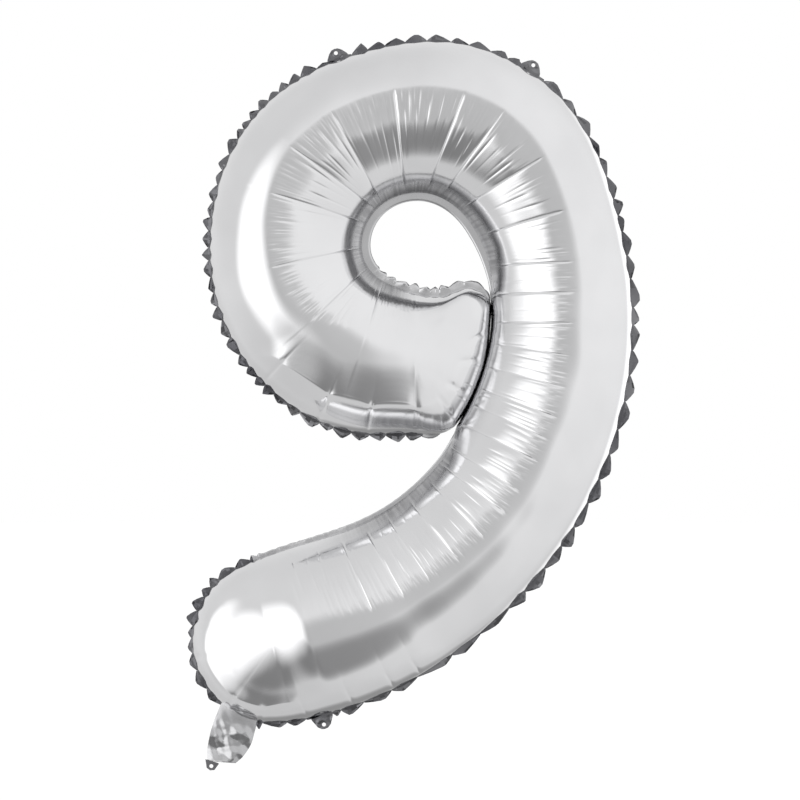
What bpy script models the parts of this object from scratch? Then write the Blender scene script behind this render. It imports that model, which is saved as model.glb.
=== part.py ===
"""Foil number balloon: the figure nine, inflated, about 0.75 m tall with its filling neck.

Two foil panels are heat-sealed together round one closed outline.  The outline is a fat stroke
that runs from the tail up the stem and round the bowl, and its free end tucks in against the
stem, which leaves the round counter of the nine open.  A filling neck with a self-sealing film
valve leaves the tail, and three small eyelet tabs stand on the sealed edge.

Frame: metres, +Z up, +X to a reader's right, front panel towards -Y.  The origin is about
midway between the two top eyelets, on the plane of the seal.  Names in capitals are in millimetres
unless they say otherwise, and a pair of numbers is X and Z.
"""

import math

import bmesh
import bpy
import numpy as np
from mathutils import Matrix, Vector

MM = 0.001

# The stroke of the nine, from the tail to the free end of the bowl: X, Z and width between seams.
STROKE = [
    (-163, -592, 168), (-15, -531, 159), (98, -403, 146), (132, -244, 137), (116, -168, 140),
    (75, -95, 154), (7, -60, 155), (-61, -67, 150), (-117, -100, 155), (-149, -160, 155),
    (-146, -229, 156), (-111, -281, 158), (-56, -306, 153), (-20, -310, 143),
]
# The seam round the free end of the bowl, from the counter, down the slit, to the outer edge.
FREE_END = [
    (14, -238), (38, -232), (50, -242), (52, -268), (48, -296), (41, -320), (31, -342),
    (18, -364), (5, -378),
]
CAP_POINTS = 5              # points on the half circle that closes the tail

BULGE = 0.43                # half depth of the inflated tube, as a share of its width
FILM = 0.6                  # film thickness, far thicker than real foil so that it is a solid
SEAL = 0.9                  # thickness of the fused edge
LAP = 3.0                   # reach of the fused edge in under the panels
CLEARANCE = 0.45            # gap between pieces that are bonded on the real balloon
RIM = SEAL / 2 + CLEARANCE  # distance from the seal's plane to a film's rim

FLANGE = 9.0                # usual width of the fused edge outside the seam
FLANGE_STEM = 6.5           # along the stem, where the free end tucks in
FLANGE_FREE_END = 2.0       # round the free end itself
FLANGE_AT_TAB = 4.0         # where an eyelet tab stands

CREST_STEP = 26.0           # spacing of the cross sections along the stroke
SEAM_STEP = 21.0            # spacing of the cross sections round its two ends
ROWS = 5                    # steps from the seam to the crest

# Eyelet tabs: a place near the eyelet, how far the eyelet is from the tab's root, and the
# tab's length.
TABS = {
    "hang_tab_left": ((-100, 4), 3.4, 7.6),
    "hang_tab_right": ((100, -6), 3.4, 7.6),
    "hang_tab_bottom": ((-113, -679), 6.0, 11.5),
}
TAB_WIDTH = 15.0
TAB_SLIT = 0.8              # gap at a tab's fold line
TAB_NOTCH = 11.0            # half length of the notch in the fused edge
TAB_NOTCH_EASE = 9.0        # length over which the edge regains its width
EYELET_RADIUS = 2.1

# The filling neck.  Its sleeve has a slanted mouth, so its two sides differ.
NECK_ROOT = (-201, -667)
NECK_LEAN = 17.0            # degrees from straight down, towards -X
NECK_HALF_WIDTH = 21.0      # at its root
NECK_FOLD = 13.0            # from the seam to the line where the sleeve folds
NECK_FOLD_GAP = 2.6         # from that line to the films on each side of it
NECK_BULGE = 2.0            # extra half depth in the middle, where a straw goes in
NECK_LEFT = [(2.6, -21), (19, -20), (41.5, -15)]    # sleeve's left side: along, across
NECK_RIGHT = [(2.6, 21), (17, 19), (34.5, 11)]      # and its right side
NECK_SEAL_IN = 2.0          # reach of a side seal in under the films
NECK_SEAL_OUT = 1.5         # and outside them
NECK_COLUMNS = 10
NECK_TAB_ACROSS = -10.5
NECK_TAB_WIDTH = 9.0
NECK_TAB_LENGTH = 8.5
NECK_EYELET = 3.8

VALVE_WIDTH = 26.0
VALVE_LENGTH = 104.0
VALVE_START = 3.0           # from the seam to the valve's outer end
VALVE_FILM = 0.3
VALVE_GAP = 0.6             # between the two closed films


def natural_spline(knots, values):
    """A natural cubic curve that takes the given values at the knots, as a function."""
    values = np.asarray(values, float)
    steps = np.diff(knots)
    slopes = np.diff(values, axis=0) / steps[:, None]
    matrix = np.eye(len(knots))
    target = np.zeros_like(values)
    for i in range(1, len(knots) - 1):
        matrix[i, i - 1:i + 2] = steps[i - 1], 2 * (steps[i - 1] + steps[i]), steps[i]
        target[i] = 6 * (slopes[i] - slopes[i - 1])
    bends = np.linalg.solve(matrix, target)

    def at(position):
        position = np.atleast_1d(position)
        i = np.clip(np.searchsorted(knots, position, side="right") - 1, 0, len(steps) - 1)
        step = steps[i][:, None]
        ahead = (knots[i + 1] - position)[:, None]
        behind = (position - knots[i])[:, None]
        return (
            (bends[i] * ahead ** 3 + bends[i + 1] * behind ** 3) / (6 * step)
            + (values[i] / step - bends[i] * step / 6) * ahead
            + (values[i + 1] / step - bends[i + 1] * step / 6) * behind
        )

    return at


def chord_knots(points):
    return np.concatenate([[0], np.cumsum(np.linalg.norm(np.diff(points, axis=0), axis=1))])


def unit(vectors):
    return vectors / np.linalg.norm(vectors, axis=-1, keepdims=True)


class Outline:
    """The closed seam: the stroke's inner edge, its free end, its outer edge and its tail cap."""

    def __init__(self):
        stroke = np.array(STROKE, float)
        self.stations = chord_knots(stroke[:, :2])
        middle = natural_spline(self.stations, stroke[:, :2])
        along = unit(middle(self.stations + 0.5) - middle(self.stations - 0.5))
        left = np.stack([-along[:, 1], along[:, 0]], axis=1) * stroke[:, 2:] / 2
        inner, outer = stroke[:, :2] + left, stroke[:, :2] - left
        turn = np.linspace(0, math.pi, CAP_POINTS + 2)[1:-1, None]
        back = -along[0] * stroke[0, 2] / 2
        cap = stroke[0, :2] - left[0] * np.cos(turn) + back * np.sin(turn)
        points = np.vstack([inner, FREE_END, outer[::-1], cap])
        self.whole = chord_knots(np.vstack([points, points[:1]]))[-1]
        knots = chord_knots(points)
        wrap = 4
        self.curve = natural_spline(
            np.concatenate([knots[-wrap:] - self.whole, knots, knots[:wrap] + self.whole]),
            np.vstack([points[-wrap:], points, points[:wrap]]),
        )
        count = len(stroke)
        self.free_end = knots[count:count + len(FREE_END)]
        self.inner_at = natural_spline(self.stations, knots[:count, None])
        outer_knots = knots[count + len(FREE_END):][:count][::-1]
        self.outer_at = natural_spline(self.stations, outer_knots[:, None])

    def point(self, distance):
        """The seam's X and Z at distances along it."""
        return self.curve(np.mod(distance, self.whole))

    def outward(self, distance):
        """Unit normals of the seam that point away from the inflated area."""
        distance = np.atleast_1d(distance)
        along = unit(self.point(distance + 0.5) - self.point(distance - 0.5))
        return np.stack([-along[:, 1], along[:, 0]], axis=1)

    def nearest(self, place):
        """The distance along the seam of its point nearest to a place."""
        distance = np.linspace(0, self.whole, 8001)
        away = np.linalg.norm(self.point(distance) - np.array(place, float), axis=1)
        return distance[np.argmin(away)]


def cross_sections(outline):
    """Every line from the seam to the crest: distance along the seam, crest point and height."""
    last = outline.stations[-1]
    station = np.linspace(0, last, round(last / CREST_STEP) + 1)
    inner = outline.inner_at(station)[:, 0]
    outer = outline.outer_at(station)[:, 0]
    across = outline.point(inner) - outline.point(outer)
    crest = outline.point(outer) + across / 2
    height = BULGE * np.linalg.norm(across, axis=1)
    end = np.linspace(inner[-1], outer[-1], round((outer[-1] - inner[-1]) / SEAM_STEP) + 1)[1:-1]
    cap_length = outline.whole - outer[0]
    cap = np.linspace(outer[0], outline.whole, round(cap_length / SEAM_STEP) + 1)[1:-1]
    neck = outline.nearest(NECK_ROOT) + np.linspace(-1, 1, NECK_COLUMNS + 1) * NECK_HALF_WIDTH
    beside_neck = (cap < neck[0] - SEAM_STEP / 3) | (cap > neck[-1] + SEAM_STEP / 3)
    cap = np.sort(np.concatenate([cap[beside_neck], neck]))
    distance = np.concatenate([inner, end, outer[::-1], cap])
    crests = np.vstack([
        crest, np.tile(crest[-1], (len(end), 1)), crest[::-1], np.tile(crest[0], (len(cap), 1)),
    ])
    heights = np.concatenate([
        height, np.full(len(end), height[-1]), height[::-1], np.full(len(cap), height[0]),
    ])
    return distance, crests, heights


def neck_arch(off_centre):
    """How far a film stands off its rim's depth, at distances from the middle of the neck."""
    share = np.clip(off_centre / NECK_HALF_WIDTH, -1, 1)
    return NECK_BULGE * np.cos(math.pi / 2 * share)


def new_material(name, colour, roughness):
    material = bpy.data.materials.new(name)
    material.use_nodes = True
    shader = material.node_tree.nodes["Principled BSDF"]
    shader.inputs["Base Color"].default_value = (*colour, 1)
    shader.inputs["Metallic"].default_value = 1.0
    shader.inputs["Roughness"].default_value = roughness
    return material


def sheet_object(name, grid, thickness, offset, material, collection, closed=False):
    """A film of a given thickness over a grid of points, whose matching edge points are welded."""
    rows, columns = grid.shape[:2]
    build = bmesh.new()
    verts = [[build.verts.new(Vector(point) * MM) for point in row] for row in grid]
    for a in range(rows if closed else rows - 1):
        b = (a + 1) % rows
        for c in range(columns - 1):
            build.faces.new((verts[a][c], verts[b][c], verts[b][c + 1], verts[a][c + 1]))
    bmesh.ops.remove_doubles(build, verts=build.verts, dist=1e-6)
    mesh = bpy.data.meshes.new(name)
    build.to_mesh(mesh)
    build.free()
    mesh.materials.append(material)
    obj = bpy.data.objects.new(name, mesh)
    collection.objects.link(obj)
    shell = obj.modifiers.new("thickness", "SOLIDIFY")
    shell.thickness = thickness * MM
    shell.offset = offset
    shell.use_even_offset = True
    return obj


def add_panel(name, outline, side, material, collection):
    """One inflated foil panel.  side is -1 for the front and 1 for the back."""
    distance, crests, heights = cross_sections(outline)
    seam = outline.point(distance)
    angle = np.linspace(0, math.pi / 2, ROWS + 1)
    inwards = (crests - seam)[:, None, :] * (1 - np.cos(angle))[None, :, None]
    flat = seam[:, None, :] + inwards
    arch = neck_arch(distance - outline.nearest(NECK_ROOT))
    depth = RIM + np.outer(arch, np.cos(angle)) + np.outer(heights, np.sin(angle))
    grid = np.stack([flat[..., 0], side * depth, flat[..., 1]], axis=-1)
    if side < 0:
        grid = grid[::-1]
    panel = sheet_object(name, grid, FILM, -1.0, material, collection, closed=True)
    panel.data.shade_smooth()


def flange_stops(outline):
    """Where along the seam the fused edge takes which width."""
    stops = [
        (outline.inner_at(outline.stations[1])[0, 0], FLANGE),
        (outline.inner_at(outline.stations[2])[0, 0], FLANGE_STEM),
        (outline.inner_at(outline.stations[3])[0, 0], FLANGE_STEM),
        (outline.inner_at(outline.stations[5])[0, 0], FLANGE),
        (outline.free_end[0], FLANGE),
        (outline.free_end[2], FLANGE_FREE_END),
        (outline.free_end[6], FLANGE_FREE_END),
        (outline.outer_at(outline.stations[-1])[0, 0], FLANGE),
    ]
    for place, _, _ in TABS.values():
        centre = outline.nearest(place)
        ease = TAB_NOTCH + TAB_NOTCH_EASE
        stops += [(centre - ease, FLANGE), (centre - TAB_NOTCH, FLANGE_AT_TAB)]
        stops += [(centre + TAB_NOTCH, FLANGE_AT_TAB), (centre + ease, FLANGE)]
    return sorted(stops)


def add_edge_seal(outline, material, collection):
    """The fused edge: a flat band from one side of the neck, round the outline, to the other."""
    stops = flange_stops(outline)
    root = outline.nearest(NECK_ROOT)
    notch = NECK_HALF_WIDTH - NECK_SEAL_IN
    distance = cross_sections(outline)[0]
    distance = distance[np.abs(distance - root) > notch + SEAM_STEP / 2]
    distance = np.concatenate([distance, [stop for stop, _ in stops], [root - notch, root + notch]])
    distance = np.unique(np.round(np.mod(distance, outline.whole), 3))
    distance = np.roll(distance, -np.searchsorted(distance, root))
    widths = np.interp(distance, *np.array(stops).T, period=outline.whole)
    seam, normal = outline.point(distance), outline.outward(distance)
    flat = np.stack([seam - normal * LAP, seam + normal * widths[:, None]], axis=1)
    grid = np.stack([flat[..., 0], np.zeros(flat.shape[:2]), flat[..., 1]], axis=-1)
    sheet_object("edge_seal", grid, SEAL, 0.0, material, collection)


class Neck:
    """The neck's own axes: along runs out of the balloon, and across runs to a reader's right."""

    def __init__(self, outline):
        self.distance = outline.nearest(NECK_ROOT)
        self.root = outline.point(self.distance)[0]
        lean = math.radians(NECK_LEAN)
        self.along = np.array([-math.sin(lean), -math.cos(lean)])
        self.across = np.array([math.cos(lean), -math.sin(lean)])

    def place(self, along, across):
        """X and Z of a point, from the fold line."""
        return self.root + self.along * (NECK_FOLD + along) + self.across * across


def arched_film(name, rows, side, material, collection):
    """A shallow arched film through rows of points, deepest in the middle of each row."""
    rows = np.array(rows)
    off_centre = np.linspace(-1, 1, rows.shape[1]) * NECK_HALF_WIDTH
    depth = side * (RIM + neck_arch(off_centre))
    grid = np.stack([rows[..., 0], np.tile(depth, (len(rows), 1)), rows[..., 1]], axis=-1)
    if side > 0:
        grid = grid[::-1]
    film = sheet_object(name, grid, FILM, 1.0, material, collection)
    film.data.shade_smooth()


def row_between(left, right):
    share = np.linspace(0, 1, NECK_COLUMNS + 1)[:, None]
    return np.array(left) * (1 - share) + np.array(right) * share


def add_neck_root(outline, neck, material, collection):
    """The short fixed stretch of the neck, from the seam to just before its fold line."""
    half = NECK_HALF_WIDTH
    seam = neck.distance - np.linspace(-half, half, NECK_COLUMNS + 1)
    seam_row = outline.point(seam) + outline.outward(seam) * CLEARANCE
    fold_row = row_between(neck.place(-NECK_FOLD_GAP, -half), neck.place(-NECK_FOLD_GAP, half))
    for label, side in (("front", -1), ("back", 1)):
        arched_film(f"neck_root_{label}", [seam_row, fold_row], side, material, collection)


def add_neck_sleeve(neck, material, collection):
    left = [neck.place(*point) for point in NECK_LEFT]
    right = [neck.place(*point) for point in NECK_RIGHT]
    rows = [row_between(a, b) for a, b in zip(left, right)]
    for label, side in (("front", -1), ("back", 1)):
        arched_film(f"neck_{label}_wall", rows, side, material, collection)


def add_neck_seal(name, neck, side_points, outward, material, collection):
    """The fused strip down one side of the sleeve."""
    flat = np.array([
        [neck.place(along, across - outward * NECK_SEAL_IN),
         neck.place(along, across + outward * NECK_SEAL_OUT)]
        for along, across in side_points
    ])
    grid = np.stack([flat[..., 0], np.zeros(flat.shape[:2]), flat[..., 1]], axis=-1)
    sheet_object(name, grid, SEAL, 0.0, material, collection)


def add_eyelet_tab(name, root, out, width, length, eyelet, material, collection):
    """A flat tab with a round end and an eyelet hole.  It stands on root and points along out."""
    across = np.array([out[1], -out[0]])
    half = width / 2
    shoulder = max(length - half, 0.25 * length)
    tip = length - shoulder
    round_end = [
        root + out * (shoulder + tip * math.sin(a)) + across * half * math.cos(a)
        for a in np.linspace(math.pi, 0, 13)
    ]
    hole = [
        root + out * (eyelet + EYELET_RADIUS * math.sin(a)) + across * EYELET_RADIUS * math.cos(a)
        for a in np.linspace(0, 2 * math.pi, 16, endpoint=False)
    ]
    curve = bpy.data.curves.new(name, "CURVE")
    curve.dimensions = "2D"
    curve.fill_mode = "BOTH"
    curve.extrude = SEAL / 2 * MM
    for loop in ([root - across * half, *round_end, root + across * half], hole):
        path = curve.splines.new("POLY")
        path.points.add(len(loop) - 1)
        path.use_cyclic_u = True
        for point, place in zip(path.points, loop):
            point.co = (place[0] * MM, place[1] * MM, 0, 1)
    curve.materials.append(material)
    tab = bpy.data.objects.new(name, curve)
    tab.rotation_euler = (math.radians(90), 0, 0)
    collection.objects.link(tab)


def add_hang_tabs(outline, material, collection):
    for name, (place, eyelet, length) in TABS.items():
        distance = outline.nearest(place)
        out = outline.outward(distance)[0]
        root = outline.point(distance)[0] + out * (FLANGE_AT_TAB + TAB_SLIT)
        add_eyelet_tab(name, root, out, TAB_WIDTH, length, eyelet, material, collection)


def add_neck_tab(neck, material, collection):
    """The eyelet tab at the lower left corner of the sleeve's mouth."""
    root = neck.place(NECK_LEFT[-1][0] + CLEARANCE, NECK_TAB_ACROSS)
    add_eyelet_tab(
        "neck_eyelet_tab", root, neck.along, NECK_TAB_WIDTH, NECK_TAB_LENGTH, NECK_EYELET,
        material, collection,
    )


def add_valve_films(neck, material, collection):
    """The two films of the self-sealing valve, side by side inside the tail."""
    middle = neck.root - neck.along * (VALVE_START + VALVE_LENGTH / 2)
    size = Matrix.Diagonal((VALVE_WIDTH * MM, VALVE_FILM * MM, VALVE_LENGTH * MM, 1))
    for name, side in (("valve_front_film", -1), ("valve_back_film", 1)):
        mesh = bpy.data.meshes.new(name)
        build = bmesh.new()
        bmesh.ops.create_cube(build, size=1.0, matrix=size)
        build.to_mesh(mesh)
        build.free()
        mesh.materials.append(material)
        film = bpy.data.objects.new(name, mesh)
        film.location = Vector((middle[0], side * (VALVE_GAP + VALVE_FILM) / 2, middle[1])) * MM
        film.rotation_euler = (0, math.radians(NECK_LEAN), 0)
        collection.objects.link(film)


def main():
    for obj in list(bpy.data.objects):
        bpy.data.objects.remove(obj, do_unlink=True)
    collection = bpy.data.collections.new("foil_number_balloon")
    bpy.context.scene.collection.children.link(collection)
    foil = new_material("silver_foil", (0.86, 0.86, 0.87), 0.12)
    seal = new_material("sealed_foil", (0.72, 0.72, 0.74), 0.22)
    film = new_material("valve_film", (0.80, 0.80, 0.78), 0.35)
    outline = Outline()
    neck = Neck(outline)
    add_panel("front_panel", outline, -1, foil, collection)
    add_panel("back_panel", outline, 1, foil, collection)
    add_edge_seal(outline, seal, collection)
    add_neck_root(outline, neck, foil, collection)
    add_neck_sleeve(neck, foil, collection)
    add_neck_seal("neck_seal_left", neck, NECK_LEFT, -1, seal, collection)
    add_neck_seal("neck_seal_right", neck, NECK_RIGHT, 1, seal, collection)
    add_neck_tab(neck, seal, collection)
    add_hang_tabs(outline, seal, collection)
    add_valve_films(neck, film, collection)


main()
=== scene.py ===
import math
from collections import namedtuple

import bpy
import numpy as np
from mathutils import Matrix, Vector


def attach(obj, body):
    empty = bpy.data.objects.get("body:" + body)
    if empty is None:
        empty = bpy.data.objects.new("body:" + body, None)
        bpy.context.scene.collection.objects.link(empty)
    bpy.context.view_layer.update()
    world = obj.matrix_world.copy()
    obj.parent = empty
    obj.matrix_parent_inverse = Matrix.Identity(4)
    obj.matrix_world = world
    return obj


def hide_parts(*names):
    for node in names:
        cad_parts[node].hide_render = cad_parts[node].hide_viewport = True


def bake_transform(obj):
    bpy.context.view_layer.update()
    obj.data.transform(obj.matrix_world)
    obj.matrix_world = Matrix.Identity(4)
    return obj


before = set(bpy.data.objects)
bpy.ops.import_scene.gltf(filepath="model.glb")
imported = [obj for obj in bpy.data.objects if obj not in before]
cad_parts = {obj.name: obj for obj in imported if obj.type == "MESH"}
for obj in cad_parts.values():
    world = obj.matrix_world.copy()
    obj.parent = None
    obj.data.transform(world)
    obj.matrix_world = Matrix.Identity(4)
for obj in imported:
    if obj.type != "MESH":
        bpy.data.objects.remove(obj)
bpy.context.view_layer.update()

# Lengths are in millimetres in the part's own frame, and a pair of numbers is X and Z.
MM = 0.001

# The seam's outline and the filling neck, as in the CAD source.
STROKE = [
    (-163, -592, 168), (-15, -531, 159), (98, -403, 146), (132, -244, 137), (116, -168, 140),
    (75, -95, 154), (7, -60, 155), (-61, -67, 150), (-117, -100, 155), (-149, -160, 155),
    (-146, -229, 156), (-111, -281, 158), (-56, -306, 153), (-20, -310, 143),
]
FREE_END = [
    (14, -238), (38, -232), (50, -242), (52, -268), (48, -296), (41, -320), (31, -342),
    (18, -364), (5, -378),
]
CAP_POINTS = 5
BULGE = 0.43
NECK_ROOT = (-201, -667)
NECK_LEAN = 17.0
NECK_HALF_WIDTH = 21.0
NECK_FOLD = 13.0            # from that line to where a bend of the neck would start and end; the two points are worked out but the neck is not bent
NECK_BEND = 5.0             # from that line to where the bend starts and ends
NECK_BULGE = 2.0
NECK_ARCH_REACH = 26        # how far the neck's arch runs into the panels
TABS = {
    "hang_tab_left": ("tab_left", (-100, 4), 3.4),
    "hang_tab_right": ("tab_right", (100, -6), 3.4),
    "hang_tab_bottom": ("tab_bottom", (-113, -679), 6.0),
}
TAB_ROOT = 4.8              # from the seam to a tab's root in the CAD
TAB_TIP = 4.6               # from an eyelet's centre to the tab's tip
EYELET_RADIUS = 2.1
LIP_RADIUS = 0.28           # section of the pressed lip round an eyelet
LIP_STAND_OFF = 0.25        # from the hole's edge to the lip's middle
NECK_LEFT = [(-13, -21), (0, -21.6), (19, -21.5), (41.5, -16.5)]    # along, across
NECK_RIGHT = [(-13, 21), (0, 22), (17, 20.5), (35.5, 12)]
NECK_EYELET = (45.7, -10.5)
NECK_TAB = [(-7, -5), (-5.2, 0), (-4.2, 3), (0, 4.6), (4.2, 3), (6, -1), (8, -5)]   # across, along
NECK_ROWS, NECK_COLUMNS = 44, 29    # steps along the neck and across one of its films
NECK_LAP = 2.0              # how far inside the seam the neck starts
NECK_HOLD = 0.28            # share of its length over which it leaves the seam's curve
TAB_RAYS, TAB_RINGS = 56, 11

# Crumples: how high they stand, and the sizes of the facets that add up.
NECK_CRUMPLE = (3.4, (38, 27, 19, 10))
NECK_SWAY = (1.2, (30, 17))         # sideways
FILM_CRUMPLE = (0.9, (24, 16, 9))   # of each film on its own, as a share of its arch
TAB_CRUMPLE = (1.6, (15, 9, 6))

RIM = 0.25                  # from the seal's plane to a panel's rim
CREST_STEP = 0.9            # spacing of the grid's columns along the stroke
CREASE_CLEAR = 1.2          # ordinary columns keep this far from a long crease
CREASE_SIDES = (0.35, 0.8)  # extra columns on each side of a long crease
LEAST_STEP = 0.05           # of two columns nearer than this, one goes
FAN_STEP = 2.8              # column spacing round the stroke's two ends
ROWS = 32                   # steps from the seam to the crest
# Stations over which the elliptical sections give way to the membrane, at the tail and the bowl.
TAIL_BLEND = (40, 0)
BOWL_BLEND = (1000, 1090)
MEMBRANE_STEP = 2.0         # grid on which the membrane's height is solved
MEMBRANE_CORNERS = 1400     # of the outline there
MEMBRANE_SWEEPS = 600
OVER_RELAXATION = 1.92      # how far each sweep goes beyond a point's own balance

# Long radial creases round the bowl: station at the crest, and station at the seam.
BOWL_CREASES = [
    (498, 505), (528, 542), (577, 586), (629, 640), (681, 697), (716, 739), (776, 785),
    (832, 840), (877, 860), (919, 907), (984, 971), (1046, 1028), (1104, 1101),
]
STEM_CREASES = (105, 480, 27)       # first, last and mean spacing
CREASE_DEPTH = 0.8
CREASE_WIDTH = 0.7
CREASE_FLARE = (0.8, 4)             # extra share of width where a crease starts, and its reach
PUFF = 0.8                          # swell of the foil between two creases
FULL_PUFF = 25                      # half the creases' spacing from which the swell is full

# How far the crest stands outside the middle of the stroke, by station.
CREST_SHIFT = [(0, 0), (250, 5), (480, 3), (575, 14), (680, 23), (880, 23), (990, 11), (1080, 0)]
# Where the creases and puckers begin: station, and distance inwards from the crest.
ONSET = [(0, 14), (120, 4), (250, 0), (990, 0), (1050, 5), (1106, 34), (1165, 60)]

# Families of puckers: ranges of spacing, depth and length, and the section of one of them.
Puckers = namedtuple("Puckers", "step depth length half_width sharpness")
CREST_PUCKERS = Puckers((1.8, 2.9), (0.16, 0.50), (7, 24), 0.85, 1.5)
LONG_PUCKERS = Puckers((7, 15), (0.15, 0.50), (18, 45), 0.9, 1.3)
SEAM_PUCKERS = Puckers((2.4, 4.6), (0.102, 0.408), (7, 20), 1.2, 1.5)
NECK_PUCKERS = Puckers((6.0, 11.0), (0.7, 1.7), (15, 38), 2.2, 1.4)
FIRST_PUCKER = 18.0                 # station
FIRST_LONG_PUCKER = 40.0
NECK_PUCKER_REACH = 56              # along the seam, on both sides of the neck
SWELLS = (170, 110, 70, 45)         # wavelengths of the panels' slow unevenness
SWELL_HEIGHT = 0.0011               # as a share of the wavelength
SHADE_AND_DULLNESS_REACH = 20                 # how far the painted shade and the duller gloss reach from the inner seam

# How far the foil bulges out over the seam on both sides of the slit, by seam distance.
OVERHANG = [
    (225, 0), (262, 8.5), (300, 8), (330, 7.5), (400, 7), (425, 3), (450, 0),
    (775, 0), (797, 5.5), (850, 6.5), (885, 7.5), (918, 8.5), (940, 2), (955, 0),
]
OVERHANG_FADE = (14, 22)    # full up to the first distance from the seam, gone over the second

# Swollen tubes along parts of the rim, as the creases that part them: seam distance, width seen
# from the front, height of the shoulder on their inner side, and how far their top rounds over.
RIM_TUBES = [
    [(786, 14, 0, 0.8), (824, 19, -1.5, 0.8), (851, 21, -2, 0.8), (888, 22, -1, 0.8),
     (915, 24, 2, 0.5), (958, 30, 5, 0.1), (1009, 33, 5, 0.1), (1060, 34, 5, 0.1),
     (1127, 30, 4, 0.1), (1160, 26, 2, 0.1)],
    [(2400, 18, 3, 0.1), (2440, 20, 3, 0.1), (2470, 22, 3, 0.1), (2514, 22, 3, 0.1),
     (2562, 22, 3, 0.1), (2610, 20, 3, 0.1), (2650, 17, 3, 0.1), (2712, 13, 2, 0.1),
     (2750, 12, 1, 0.2), (2785, 11, 1, 0.2), (2804, 11, 1, 0.2), (2832, 10, 1, 0.2)],
]
RIM_EASE = 32               # seam distance over which a tube rises at the ends of its range
TUBE_ROW = 13               # the grid row that runs along a tube's inner side
TUBE_CREASE = (2.6, 1.8)    # depth and half width of the creases between tubes
TUBE_WAIST = 0.82           # a tube's width at such a crease, as a share of its widest
SHOULDER_REACH = 22         # how far a tube's shoulder runs into the panel

# The fused edge: seam distance, width, and how strongly it is gathered into lobes.
FLANGE = [
    (0, 7, 0.9), (14, 4, 0.2), (225, 4, 0), (262, 6.5, 0), (420, 6.5, 0),
    (470, 8.5, 0), (655, 9, 0), (675, 9, 0.45), (716, 9.5, 0.5), (745, 10, 0.5), (765, 8, 0.4),
    (784, 7, 0.3), (800, 2, 0), (925, 2, 0.3), (960, 8, 1), (2833, 8, 1),
]
# Length of a lobe along the seam, by seam distance.
LOBE_LENGTH = [(0, 9), (600, 9), (960, 20), (1250, 14), (1600, 19), (1900, 24), (2250, 27),
               (2450, 34), (2600, 19), (2833, 15)]
LOBE_VARIES = (0.7, 1.3)    # range of one lobe's length, as a share of the table's
LOBE_PEAK = (0.3, 0.7)      # where along a lobe its tip lies
LOBE_BLUNT = (0.02, 0.10)   # half the length of its tip, as a share of the lobe
LOBE_SIZE = (0.6, 1.2)      # of the edge's width
PINCH = 0.8                 # share of its width that the edge loses between two lobes
LOBE_LIFT = 4.0             # how far a lobe's edge stands out of the seal's plane
LOBE_CRINKLE = 1.3          # and how far its rows stray from that
FULLY_GATHERED = 0.8        # from this strength on, the edge takes the foil painted dark as shade, and has sharp folds
FLANGE_LAP = 3.0            # reach in under the panels
FLANGE_NECK_LAP = 2.0       # reach past the neck's two sides
TAB_CLEAR = (11, 16)        # beside a tab the edge is narrow up to the first, whole at the second
NARROW = 0.4                # share of its width that it keeps there
FOIL = 0.16                 # thickness of a visible double film

# Margins for rounding, where a ray meets a tab's outline.
NOT_ZERO = 1e-12
TOUCH = 1e-9


def natural_spline(knots, values):
    """A natural cubic curve that takes the given values at the knots, as a function."""
    values = np.asarray(values, float)
    steps = np.diff(knots)
    slopes = np.diff(values, axis=0) / steps[:, None]
    matrix = np.eye(len(knots))
    target = np.zeros_like(values)
    for i in range(1, len(knots) - 1):
        matrix[i, i - 1:i + 2] = steps[i - 1], 2 * (steps[i - 1] + steps[i]), steps[i]
        target[i] = 6 * (slopes[i] - slopes[i - 1])
    bends = np.linalg.solve(matrix, target)

    def at(position):
        position = np.atleast_1d(position)
        i = np.clip(np.searchsorted(knots, position, side="right") - 1, 0, len(steps) - 1)
        step = steps[i][:, None]
        ahead = (knots[i + 1] - position)[:, None]
        behind = (position - knots[i])[:, None]
        return (
            (bends[i] * ahead ** 3 + bends[i + 1] * behind ** 3) / (6 * step)
            + (values[i] / step - bends[i] * step / 6) * ahead
            + (values[i + 1] / step - bends[i + 1] * step / 6) * behind
        )

    return at


def chord_knots(points):
    return np.concatenate([[0], np.cumsum(np.linalg.norm(np.diff(points, axis=0), axis=1))])


def unit(vectors):
    return vectors / np.linalg.norm(vectors, axis=-1, keepdims=True)


def smooth(value, start, end):
    """0 before start and 1 after end, with no corner between."""
    share = np.clip((value - start) / (end - start), 0, 1)
    return share * share * (3 - 2 * share)


def read(table, place, column=1):
    """A column of a table whose rows start with a place, with straight lines between its rows."""
    rows = np.array(table, float)
    return np.interp(place, rows[:, 0], rows[:, column])


def averaged(values, weights, ends):
    """A running mean. ends says how the values go on past their ends, as in np.pad."""
    return np.convolve(np.pad(values, len(weights) // 2, ends), weights / weights.sum(), "valid")


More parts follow.
